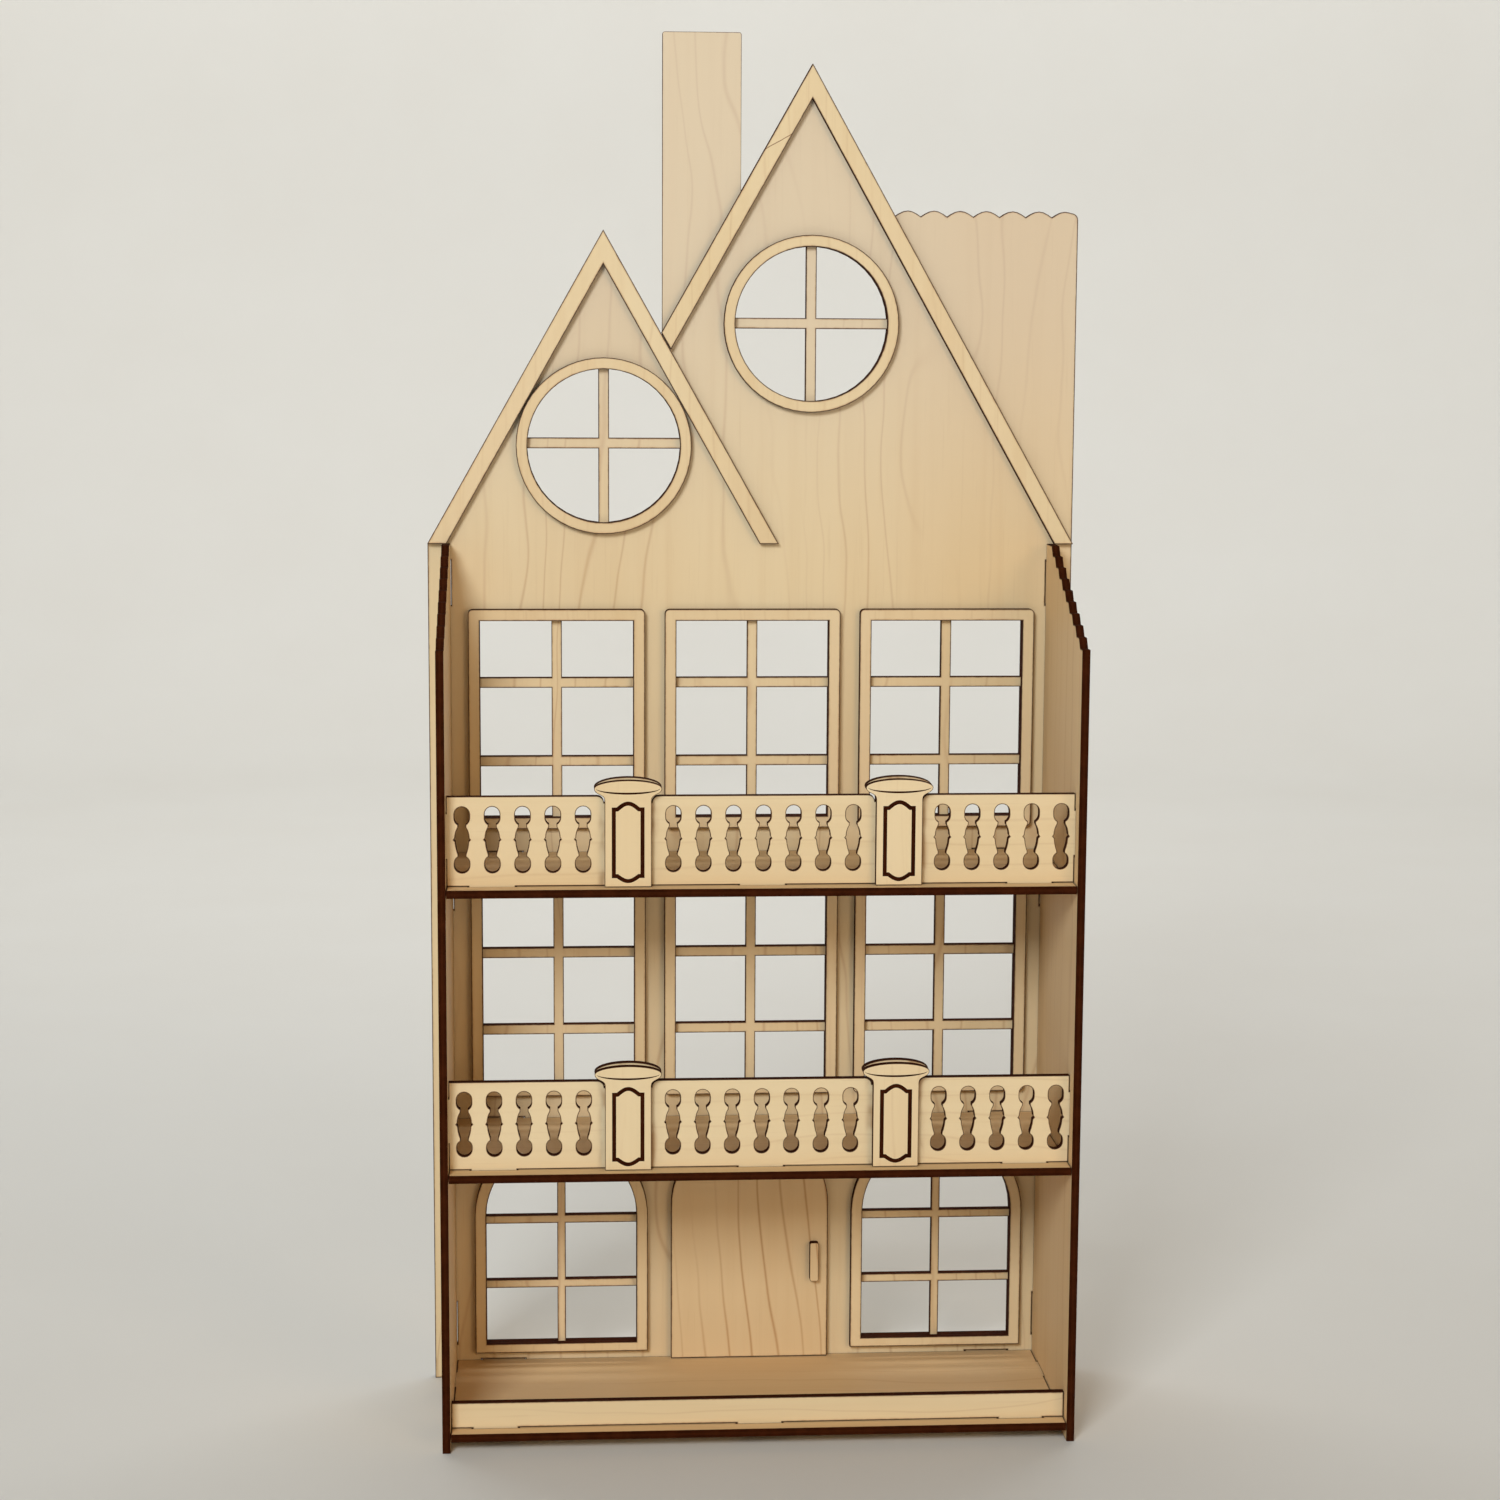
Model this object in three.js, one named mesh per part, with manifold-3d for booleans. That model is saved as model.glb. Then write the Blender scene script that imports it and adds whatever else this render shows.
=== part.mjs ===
// Wooden dollhouse, a wall shelf of flat boards that plug together with finger tabs.
// Millimetres. +Z is up and -Y is the open front. The origin is on the floor, under the middle.
import * as THREE from 'three';
import { mergeVertices } from 'three/addons/utils/BufferGeometryUtils.js';
import Module from 'manifold-3d';

const wasm = await Module();
wasm.setup();

// ---- boards and fits
const PLY = 4;
const GAP = 0.3;
const TAB = 23;

// ---- back panel
const PANEL_W = 337;
const EAVES_Z = 449.5;
const GABLE_RUN = 0.5667;
const LEFT_APEX_Z = 610.3;
const RIGHT_APEX_Z = 694.5;
const CHIMNEY = { left: -47, right: -6.6, top: 710, corner: 1.2 };
const ROOF_EDGE_Z = 618.3;
const SCALLOPS = 7;
const SCALLOP_RISE = 3;
const ROOF_CORNER_R = 3.5;
const TOTAL_DEPTH = 114.6;
const FRONT_Y = -TOTAL_DEPTH / 2;
const PANEL_BACK_Y = TOTAL_DEPTH / 2;
const PANEL_FACE_Y = PANEL_BACK_Y - PLY;
const OVERLAY_BACK_Y = PANEL_FACE_Y - GAP;

// ---- box on the front of the panel
const BOX_X = -0.8;
const BOX_W = 320;
const INNER_HALF = BOX_W / 2 - PLY;
const SIDE_FRONT_Z = 404.8;
const SIDE_BACK_Z = EAVES_Z;
const SLOPE_DEPTH = 94.3;
const SIDE_STEPS = 9;
const STEP_TREAD = 0.63;
const SIDE_TAB_Z = [30.5, 124, 268, 429];
const FLOOR_Z = { ground: 5.8, middle: 139.4, upper: 283 };
const SHELF_SIDE_TAB_Y = [30, 80];
const SHELF_BACK_TAB_X = [-131, 131];

// ---- rail and balustrades
const RAIL_SETBACK = 8.4;
const RAIL_H = 13.4;
const BALUSTRADE_SETBACK = 10.1;
const BALUSTRADE_H = 45;
const BALUSTRADE_TAB_X = [-133.5, 0, 133.5];
const BALUSTRADE_SIDE_TAB_Z = 25.2;
const BALUSTER_PITCH = 14.86;
const BALUSTER_GROUPS = [{ x: -118.4, n: 5 }, { x: 0.4, n: 7 }, { x: 119.2, n: 5 }];
const PEDESTAL_X = [-66.6, 67.4];
const PEDESTAL = { bodyHalf: 11.5, capHalf: 16.7, neckZ: 43.4, tipZ: 49.2, capZ: 53.2 };
const BACKING_CAP_Z = 54.3;
const SHOULDER_R = 3.4;

// ---- windows and door, all on the panel
const BORDER = 6.1;
const WINDOW = { w: 92, h: 115.6, corner: 2.5, bar: 5.4, barSpan: 41.4 };
const UPPER_WINDOWS = { x: [-101.9, 0.4, 102.7], top: 415.5, bars: 356 };
const MIDDLE_WINDOWS = { x: [-101.5, 0.4, 101.5], top: 271.6, bars: 212.1 };
const ARCHED = { x: [-100.5, 101.3], half: 46.2, sill: 14.6, sillBorder: 5, spring: 90.2 };
const ARCHED_BARS = { w: 4.5, z: [87.3, 51.7] };
const ROUND = { r: 45.4, ring: 5.9, bar: 5.5 };
const ROUND_WINDOWS = [{ x: -77.2, z: 500, barZ: 501.4 }, { x: 30, z: 563, barZ: 563.3 }];
const DOOR = { x: 0.4, half: 42.2, bottom: 10.1, spring: 95.3 };
const HANDLE = { x: 35, z: 63.8, w: 4.7, h: 21.4, corner: 1.1 };

// ---- gable fascias
const FASCIA_W = 8.6;

const ARC_STEPS = 20;

const GABLE_ANGLE = Math.atan(GABLE_RUN);
const PANEL_HALF = PANEL_W / 2;
const LEFT_APEX_X = -PANEL_HALF + (LEFT_APEX_Z - EAVES_Z) * GABLE_RUN;
const RIGHT_APEX_X = PANEL_HALF - (RIGHT_APEX_Z - EAVES_Z) * GABLE_RUN;

const group = new THREE.Group();
group.name = 'dollhouse';
const plywood = new THREE.MeshStandardMaterial({ name: 'plywood', color: 0xe3c89a, roughness: 0.6 });

// ---- outlines, as lists of [u, v]
function arc(u, v, r, fromDeg, toDeg, steps = ARC_STEPS) {
  const points = [];
  for (let i = 0; i <= steps; i += 1) {
    const a = THREE.MathUtils.degToRad(fromDeg + ((toDeg - fromDeg) * i) / steps);
    points.push([u + r * Math.cos(a), v + r * Math.sin(a)]);
  }
  return points;
}

function rectangle(u0, u1, v0, v1) {
  return [[u0, v0], [u1, v0], [u1, v1], [u0, v1]];
}

function slot(u, v, length, across) {
  const a = length / 2 + GAP;
  const b = across / 2 + GAP;
  return rectangle(u - a, u + a, v - b, v + b);
}

function roundedRectangle(u0, u1, v0, v1, r) {
  return [
    ...arc(u0 + r, v0 + r, r, 180, 270, 4),
    ...arc(u1 - r, v0 + r, r, 270, 360, 4),
    ...arc(u1 - r, v1 - r, r, 0, 90, 4),
    ...arc(u0 + r, v1 - r, r, 90, 180, 4),
  ];
}

// An edge from one corner to another, with tabs that reach out to its right-hand side.
function tabbedEdge(from, to, centres, reach, width = TAB) {
  const length = Math.hypot(to[0] - from[0], to[1] - from[1]);
  const along = [(to[0] - from[0]) / length, (to[1] - from[1]) / length];
  const out = [along[1], -along[0]];
  const at = (s, d) => [from[0] + along[0] * s + out[0] * d, from[1] + along[1] * s + out[1] * d];
  const points = [from];
  for (const c of centres) {
    points.push(at(c - width / 2, 0), at(c - width / 2, reach));
    points.push(at(c + width / 2, reach), at(c + width / 2, 0));
  }
  points.push(to);
  return points;
}

// ---- boards: an outline given the ply thickness and turned into its plane
function addBoard(name, geometry) {
  const mesh = new THREE.Mesh(geometry, plywood);
  mesh.name = name;
  group.add(mesh);
  return mesh;
}

function extrude(outline, low, high) {
  const shape = new THREE.Shape(outline.map(([u, v]) => new THREE.Vector2(u, v)));
  const geometry = new THREE.ExtrudeGeometry(shape, { depth: high - low, bevelEnabled: false });
  geometry.translate(0, 0, low);
  return geometry;
}

function toSolid(geometry) {
  const bare = new THREE.BufferGeometry();
  bare.setAttribute('position', geometry.getAttribute('position'));
  const merged = mergeVertices(bare, 1e-4);
  return new wasm.Manifold(new wasm.Mesh({
    numProp: 3,
    vertProperties: merged.getAttribute('position').array,
    triVerts: Uint32Array.from(merged.index.array),
  }));
}

function toGeometry(solid) {
  const { vertProperties, triVerts } = solid.getMesh();
  const geometry = new THREE.BufferGeometry();
  geometry.setAttribute('position', new THREE.BufferAttribute(vertProperties, 3));
  geometry.setIndex(new THREE.BufferAttribute(triVerts, 1));
  geometry.computeVertexNormals();
  return geometry;
}

function cutBoard(outline, holes = []) {
  let solid = toSolid(extrude(outline, 0, PLY));
  for (const hole of holes) {
    solid = solid.subtract(toSolid(extrude(hole, -1, PLY + 1)));
  }
  return toGeometry(solid);
}

function addFacingBoard(name, backY, outline, holes) {
  const geometry = cutBoard(outline, holes);
  geometry.rotateX(Math.PI / 2);
  geometry.translate(0, backY, 0);
  return addBoard(name, geometry);
}

function addLevelBoard(name, bottomZ, outline, holes) {
  const geometry = cutBoard(outline, holes);
  geometry.translate(0, 0, bottomZ);
  return addBoard(name, geometry);
}

function addSideBoard(name, leftX, outline, holes) {
  const geometry = cutBoard(outline, holes);
  const turn = new THREE.Matrix4().makeBasis(
    new THREE.Vector3(0, 1, 0),
    new THREE.Vector3(0, 0, 1),
    new THREE.Vector3(1, 0, 0),
  );
  geometry.applyMatrix4(turn);
  geometry.translate(leftX, 0, 0);
  return addBoard(name, geometry);
}

// ---- window openings in the panel
function panes(u0, u1, v0, v1, barZ, bar, middleX) {
  const columns = [[u0, middleX - bar / 2], [middleX + bar / 2, u1]];
  const edges = [v0, ...barZ.flatMap((z) => [z - bar / 2, z + bar / 2]), v1];
  const holes = [];
  for (const [a, b] of columns) {
    for (let i = 0; i < edges.length; i += 2) {
      holes.push(rectangle(a, b, edges[i], edges[i + 1]));
    }
  }
  return holes;
}

function rectangularWindowPanes(row) {
  const half = WINDOW.w / 2 - BORDER;
  const barZ = [row.bars - WINDOW.barSpan / 2, row.bars + WINDOW.barSpan / 2];
  const v0 = row.top - WINDOW.h + BORDER;
  const v1 = row.top - BORDER;
  return row.x.flatMap((x) => panes(x - half, x + half, v0, v1, barZ, WINDOW.bar, x));
}

function quarterPane(x, z, r, barHalf, side, base) {
  const top = Math.sqrt(r * r - barHalf * barHalf);
  const a0 = THREE.MathUtils.radToDeg(Math.asin((base - z) / r));
  const a1 = THREE.MathUtils.radToDeg(Math.atan2(top, barHalf));
  const points = [...arc(0, 0, r, a0, a1, 10), [barHalf, base - z]];
  const placed = points.map(([u, v]) => [x + side * u, z + v]);
  return side > 0 ? placed : placed.reverse();
}

function archedWindowPanes(x) {
  const r = ARCHED.half - BORDER;
  const [high, low] = ARCHED_BARS.z;
  const b = ARCHED_BARS.w / 2;
  const square = panes(x - r, x + r, ARCHED.sill + ARCHED.sillBorder, high - b, [low], 2 * b, x);
  const tops = [-1, 1].map((side) => archTopPane(x, r, b, side, high + b));
  return [...square, ...tops];
}

// The pane over the top bar: straight up to the springing, then round.
function archTopPane(x, r, barHalf, side, base) {
  const points = [
    [barHalf, base],
    [r, base],
    ...arc(0, ARCHED.spring, r, 0, THREE.MathUtils.radToDeg(Math.acos(barHalf / r)), 10),
  ];
  const placed = points.map(([u, v]) => [x + side * u, v]);
  return side > 0 ? placed : placed.reverse();
}

function roundWindowPanes({ x, z, barZ }) {
  const r = ROUND.r - ROUND.ring;
  const b = ROUND.bar / 2;
  const holes = [];
  for (const side of [-1, 1]) {
    holes.push(quarterPane(x, z, r, b, side, barZ + b));
    const under = quarterPane(x, z, r, b, side, 2 * z - barZ + b);
    holes.push(under.map(([u, v]) => [u, 2 * z - v]).reverse());
  }
  return holes;
}

// ---- the back panel
function scallopedEdge() {
  const startX = RIGHT_APEX_X + (RIGHT_APEX_Z - ROOF_EDGE_Z) * GABLE_RUN;
  const pitch = (PANEL_HALF - startX) / SCALLOPS;
  const cornerZ = ROOF_EDGE_Z + 0.75 * SCALLOP_RISE - ROOF_CORNER_R;
  const points = arc(PANEL_HALF - ROOF_CORNER_R, cornerZ, ROOF_CORNER_R, 0, 90, 6);
  for (let i = 0; i < SCALLOPS; i += 1) {
    for (let k = i === 0 ? 2 : 0; k < 6; k += 1) {
      const x = PANEL_HALF - pitch * (i + k / 6);
      points.push([x, ROOF_EDGE_Z + SCALLOP_RISE * Math.sin((Math.PI * k) / 6)]);
    }
  }
  points.push([startX, ROOF_EDGE_Z]);
  return points;
}

function panelOutline() {
  const { corner } = CHIMNEY;
  const chimneyRightZ = RIGHT_APEX_Z - (RIGHT_APEX_X - CHIMNEY.right) / GABLE_RUN;
  const chimneyLeftZ = LEFT_APEX_Z - (CHIMNEY.left - LEFT_APEX_X) / GABLE_RUN;
  return [
    [-PANEL_HALF, 0],
    [PANEL_HALF, 0],
    ...scallopedEdge(),
    [RIGHT_APEX_X, RIGHT_APEX_Z],
    [CHIMNEY.right, chimneyRightZ],
    ...arc(CHIMNEY.right - corner, CHIMNEY.top - corner, corner, 0, 90, 4),
    ...arc(CHIMNEY.left + corner, CHIMNEY.top - corner, corner, 90, 180, 4),
    [CHIMNEY.left, chimneyLeftZ],
    [LEFT_APEX_X, LEFT_APEX_Z],
    [-PANEL_HALF, EAVES_Z],
  ];
}

function panelSlots() {
  const slots = [];
  for (const z of Object.values(FLOOR_Z)) {
    for (const x of SHELF_BACK_TAB_X) {
      slots.push(slot(BOX_X + x, z + PLY / 2, TAB, PLY));
    }
  }
  for (const side of [-1, 1]) {
    for (const z of SIDE_TAB_Z) {
      slots.push(slot(BOX_X + side * (INNER_HALF + PLY / 2), z, PLY, TAB));
    }
  }
  return slots;
}

function addBackPanel() {
  const openings = [
    ...rectangularWindowPanes(UPPER_WINDOWS),
    ...rectangularWindowPanes(MIDDLE_WINDOWS),
    ...ARCHED.x.flatMap(archedWindowPanes),
    ...ROUND_WINDOWS.flatMap(roundWindowPanes),
  ];
  addFacingBoard('back_panel', PANEL_BACK_Y, panelOutline(), [...openings, ...panelSlots()]);
}

// ---- side panels, shelves and rail
function steppedEdge() {
  const run = SLOPE_DEPTH / SIDE_STEPS;
  const rise = (SIDE_BACK_Z - SIDE_FRONT_Z) / SIDE_STEPS;
  const points = [];
  for (let i = 0; i < SIDE_STEPS; i += 1) {
    const y = FRONT_Y + SLOPE_DEPTH - run * i;
    const z = SIDE_BACK_Z - rise * i;
    points.push([y, z], [y - run * (1 - STEP_TREAD), z - rise]);
  }
  points.push([FRONT_Y, SIDE_FRONT_Z]);
  return points;
}

function sideSlots() {
  const slots = [];
  for (const z of Object.values(FLOOR_Z)) {
    for (const y of SHELF_SIDE_TAB_Y) {
      slots.push(slot(FRONT_Y + y, z + PLY / 2, TAB, PLY));
    }
  }
  for (const z of [FLOOR_Z.middle, FLOOR_Z.upper]) {
    const y = FRONT_Y + BALUSTRADE_SETBACK + PLY / 2;
    slots.push(slot(y, z + PLY + BALUSTRADE_SIDE_TAB_Z, PLY, TAB));
  }
  return slots;
}

function addSidePanel(name, side) {
  const backY = PANEL_FACE_Y - GAP;
  const outline = [
    [FRONT_Y, 0],
    ...tabbedEdge([backY, 0], [backY, SIDE_BACK_Z], SIDE_TAB_Z, PLY + GAP),
    ...steppedEdge(),
  ];
  const leftX = BOX_X + (side < 0 ? -BOX_W / 2 : INNER_HALF);
  addSideBoard(name, leftX, outline, sideSlots());
}

function addShelf(name, bottomZ, slotY) {
  const half = INNER_HALF - GAP;
  const backY = PANEL_FACE_Y - GAP;
  const depth = backY - FRONT_Y;
  const reach = PLY + GAP;
  const sideTabs = SHELF_SIDE_TAB_Y;
  const corner = (side, y) => [BOX_X + side * half, y];
  const backTabs = SHELF_BACK_TAB_X.map((x) => half + x);
  const mirroredTabs = sideTabs.map((y) => depth - y).reverse();
  const outline = [
    ...tabbedEdge(corner(1, FRONT_Y), corner(1, backY), sideTabs, reach),
    ...tabbedEdge(corner(1, backY), corner(-1, backY), backTabs, reach),
    ...tabbedEdge(corner(-1, backY), corner(-1, FRONT_Y), mirroredTabs, reach),
  ];
  const slots = BALUSTRADE_TAB_X.map((x) => slot(BOX_X + x, slotY, TAB, PLY));
  addLevelBoard(name, bottomZ, outline, slots);
}

function addFrontRail() {
  const bottom = FLOOR_Z.ground + PLY + GAP;
  const top = FLOOR_Z.ground + PLY + RAIL_H;
  const half = INNER_HALF - GAP;
  const tabs = BALUSTRADE_TAB_X.map((x) => half + x);
  const outline = [
    ...tabbedEdge([BOX_X - half, bottom], [BOX_X + half, bottom], tabs, PLY + GAP),
    [BOX_X + half, top],
    [BOX_X - half, top],
  ];
  addFacingBoard('front_rail', FRONT_Y + RAIL_SETBACK + PLY, outline);
}

// ---- balustrades and pedestals; heights are over the shelf
function balusterCutout(x, z) {
  const rightHalf = [
    ...arc(0, 10.75, 3.72, -90, 0, 5),
    ...arc(0, 11.85, 3.72, 0, 61, 4),
    [1.9, 16.4],
    [2.45, 18.1],
    [2.95, 20.3],
    [3.2, 22.6],
    [4.0, 23.5],
    [3.4, 24.4],
    [3.3, 25.6],
    [2.95, 27.3],
    [2.4, 28.7],
    [1.85, 29.7],
    ...arc(0, 34.3, 3.72, -61, 0, 4),
    ...arc(0, 36.2, 3.72, 0, 90, 5),
  ];
  const leftHalf = rightHalf.slice(1, -1).map(([u, v]) => [-u, v]).reverse();
  return [...rightHalf, ...leftHalf].map(([u, v]) => [x + u, z + v]);
}

// The right side of a pedestal's top: an S-curve from the neck out to the cap's tip, then a half oval.
function capProfile(capZ) {
  const { bodyHalf, capHalf, neckZ, tipZ } = PEDESTAL;
  const bend = (tipZ - neckZ) * 0.56;
  const neck = new THREE.CubicBezierCurve(
    new THREE.Vector2(bodyHalf, neckZ),
    new THREE.Vector2(bodyHalf, neckZ + bend),
    new THREE.Vector2(capHalf, tipZ - bend),
    new THREE.Vector2(capHalf, tipZ),
  );
  const cap = [];
  for (let i = 1; i <= 9; i += 1) {
    const a = (Math.PI * i) / 18;
    cap.push([capHalf * Math.cos(a), tipZ + (capZ - tipZ) * Math.sin(a)]);
  }
  return [...neck.getPoints(8).map(({ x, y }) => [x, y]), ...cap];
}

function pedestalOutline(x, baseZ) {
  const right = [[PEDESTAL.bodyHalf, GAP], ...capProfile(PEDESTAL.capZ)];
  const left = right.slice(0, -1).map(([u, v]) => [-u, v]).reverse();
  return [...right, ...left].map(([u, v]) => [x + u, baseZ + v]);
}

// The balustrade's top edge from right to left, with the pedestals' tops standing up from it.
function balustradeTop(baseZ) {
  const points = [];
  for (const x of [...PEDESTAL_X].reverse()) {
    const shoulderX = PEDESTAL.bodyHalf + GAP + SHOULDER_R;
    const notchZ = BALUSTRADE_H - SHOULDER_R;
    const shoulder = arc(shoulderX, notchZ, SHOULDER_R, 90, 180, 4);
    const right = [...shoulder, [PEDESTAL.bodyHalf, notchZ], ...capProfile(BACKING_CAP_Z)];
    const left = right.slice(0, -1).map(([u, v]) => [-u, v]).reverse();
    points.push(...[...right, ...left].map(([u, v]) => [BOX_X + x + u, baseZ + v]));
  }
  return points;
}

function addBalustrade(name, shelfZ) {
  const baseZ = shelfZ + PLY;
  const half = INNER_HALF - GAP;
  const reach = PLY + GAP;
  const left = BOX_X - half;
  const right = BOX_X + half;
  const bottom = baseZ + GAP;
  const top = baseZ + BALUSTRADE_H;
  const sideTab = BALUSTRADE_SIDE_TAB_Z - GAP;
  const bottomTabs = BALUSTRADE_TAB_X.map((x) => half + x);
  const outline = [
    ...tabbedEdge([left, bottom], [right, bottom], bottomTabs, reach).slice(0, -1),
    ...tabbedEdge([right, bottom], [right, top], [sideTab], reach),
    ...balustradeTop(baseZ),
    ...tabbedEdge([left, top], [left, bottom], [top - bottom - sideTab], reach).slice(0, -1),
  ];
  const cutouts = [];
  for (const { x, n } of BALUSTER_GROUPS) {
    for (let i = 0; i < n; i += 1) {
      cutouts.push(balusterCutout(BOX_X + x + BALUSTER_PITCH * (i - (n - 1) / 2), baseZ));
    }
  }
  addFacingBoard(name, FRONT_Y + BALUSTRADE_SETBACK + PLY, outline, cutouts);
}

function addPedestals(row, shelfZ) {
  const backY = FRONT_Y + BALUSTRADE_SETBACK - GAP;
  PEDESTAL_X.forEach((x, i) => {
    const side = ['left', 'right'][i];
    addFacingBoard(`${row}_pedestal_${side}`, backY, pedestalOutline(BOX_X + x, shelfZ + PLY));
  });
}

// ---- overlays on the panel
function addWindowFrames(row, name) {
  row.x.forEach((x, i) => {
    const bottom = row.top - WINDOW.h;
    const outline = roundedRectangle(x - WINDOW.w / 2, x + WINDOW.w / 2, bottom, row.top, WINDOW.corner);
    const half = WINDOW.w / 2 - BORDER;
    const hole = rectangle(x - half, x + half, bottom + BORDER, row.top - BORDER);
    const side = ['left', 'middle', 'right'][i];
    addFacingBoard(`${name}_${side}`, OVERLAY_BACK_Y, outline, [hole]);
  });
}

function archedOutline(x, half, bottom, spring) {
  return [[x - half, bottom], [x + half, bottom], ...arc(x, spring, half, 0, 180, 2 * ARC_STEPS)];
}

function addArchedFrames() {
  ARCHED.x.forEach((x, i) => {
    const outer = archedOutline(x, ARCHED.half, ARCHED.sill, ARCHED.spring);
    const sill = ARCHED.sill + ARCHED.sillBorder;
    const inner = archedOutline(x, ARCHED.half - BORDER, sill, ARCHED.spring);
    const side = ['left', 'right'][i];
    addFacingBoard(`arched_frame_${side}`, OVERLAY_BACK_Y, outer, [inner]);
  });
}

function addRoundFrames() {
  ROUND_WINDOWS.forEach(({ x, z }, i) => {
    const outer = arc(x, z, ROUND.r, 0, 360, 3 * ARC_STEPS).slice(0, -1);
    const inner = arc(x, z, ROUND.r - ROUND.ring, 0, 360, 3 * ARC_STEPS).slice(0, -1);
    const side = ['left', 'right'][i];
    addFacingBoard(`round_frame_${side}`, OVERLAY_BACK_Y, outer, [inner]);
  });
}

function addDoor() {
  const leaf = archedOutline(DOOR.x, DOOR.half, DOOR.bottom, DOOR.spring);
  addFacingBoard('door', OVERLAY_BACK_Y, leaf);
  const { x, z, w, h, corner } = HANDLE;
  const bar = roundedRectangle(x - w / 2, x + w / 2, z - h / 2, z + h / 2, corner);
  addFacingBoard('door_handle', OVERLAY_BACK_Y - PLY - GAP, bar);
}

function onSlope(apexX, apexZ, z, side) {
  return [apexX + side * (apexZ - z) * GABLE_RUN, z];
}

function addFascias() {
  const drop = FASCIA_W / Math.sin(GABLE_ANGLE);
  const low = EAVES_Z;
  const leftInnerZ = LEFT_APEX_Z - drop;
  addFacingBoard('left_fascia', OVERLAY_BACK_Y, [
    onSlope(LEFT_APEX_X, LEFT_APEX_Z, low, -1),
    onSlope(LEFT_APEX_X, leftInnerZ, low, -1),
    [LEFT_APEX_X, leftInnerZ],
    onSlope(LEFT_APEX_X, leftInnerZ, low, 1),
    onSlope(LEFT_APEX_X, LEFT_APEX_Z, low, 1),
    [LEFT_APEX_X, LEFT_APEX_Z],
  ]);
  const rightInnerZ = RIGHT_APEX_Z - drop;
  addFacingBoard('right_fascia', OVERLAY_BACK_Y, [
    buttPoint(RIGHT_APEX_Z),
    buttPoint(rightInnerZ),
    [RIGHT_APEX_X, rightInnerZ],
    onSlope(RIGHT_APEX_X, rightInnerZ, low, 1),
    onSlope(RIGHT_APEX_X, RIGHT_APEX_Z, low, 1),
    [RIGHT_APEX_X, RIGHT_APEX_Z],
  ]);
}

// Where the right gable's left-hand slope meets the left fascia's outer edge, a gap away from it.
function buttPoint(apexZ) {
  const shifted = LEFT_APEX_Z + GAP / Math.sin(GABLE_ANGLE);
  const z = (shifted + apexZ - (RIGHT_APEX_X - LEFT_APEX_X) / GABLE_RUN) / 2;
  return onSlope(RIGHT_APEX_X, apexZ, z, -1);
}

const balustradeSlotY = FRONT_Y + BALUSTRADE_SETBACK + PLY / 2;
addBackPanel();
addSidePanel('left_side', -1);
addSidePanel('right_side', 1);
addShelf('ground_floor', FLOOR_Z.ground, FRONT_Y + RAIL_SETBACK + PLY / 2);
addShelf('middle_shelf', FLOOR_Z.middle, balustradeSlotY);
addShelf('upper_shelf', FLOOR_Z.upper, balustradeSlotY);
addFrontRail();
addBalustrade('lower_balustrade', FLOOR_Z.middle);
addBalustrade('upper_balustrade', FLOOR_Z.upper);
addPedestals('lower', FLOOR_Z.middle);
addPedestals('upper', FLOOR_Z.upper);
addWindowFrames(UPPER_WINDOWS, 'upper_frame');
addWindowFrames(MIDDLE_WINDOWS, 'middle_frame');
addArchedFrames();
addRoundFrames();
addDoor();
addFascias();

export default group;
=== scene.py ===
"""Looks for the wooden dollhouse: laser-cut birch plywood boards with pale faces and charred cuts.

Every board is rebuilt from its node's own outline: a small profile is carried along each cut, and the
faces are filled in between. The rim of a face knows how far it is from its cut, so the toasting follows
every cut.
"""
import math

import bmesh
import bpy
import numpy as np
from mathutils import Matrix, Vector
from mathutils.geometry import tessellate_polygon


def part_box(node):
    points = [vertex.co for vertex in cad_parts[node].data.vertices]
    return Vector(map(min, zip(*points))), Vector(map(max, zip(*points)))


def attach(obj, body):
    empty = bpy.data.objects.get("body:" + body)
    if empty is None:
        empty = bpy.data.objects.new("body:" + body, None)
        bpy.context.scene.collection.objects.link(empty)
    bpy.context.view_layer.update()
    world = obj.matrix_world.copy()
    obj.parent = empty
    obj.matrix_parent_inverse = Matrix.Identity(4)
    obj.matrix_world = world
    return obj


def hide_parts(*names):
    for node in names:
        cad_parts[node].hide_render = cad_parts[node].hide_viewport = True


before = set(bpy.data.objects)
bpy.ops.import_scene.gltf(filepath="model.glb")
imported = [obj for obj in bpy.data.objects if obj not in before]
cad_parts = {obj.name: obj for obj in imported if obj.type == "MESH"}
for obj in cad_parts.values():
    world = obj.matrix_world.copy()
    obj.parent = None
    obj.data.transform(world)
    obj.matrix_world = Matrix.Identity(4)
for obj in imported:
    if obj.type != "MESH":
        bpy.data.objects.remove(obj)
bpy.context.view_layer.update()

MM = 0.001
ARRIS = 0.12 * MM
RIM = 1.6 * MM
NARROW_RIM = 0.5 * MM
FRET_RIM = 0.8 * MM
ENGRAVING = 0.35 * MM
POCKET_WALL = 0.1 * MM
JOINT_GAP = 0.3 * MM
WELD = 0.001 * MM
GRID = 0.002 * MM
X, Z = 0, 2


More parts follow.
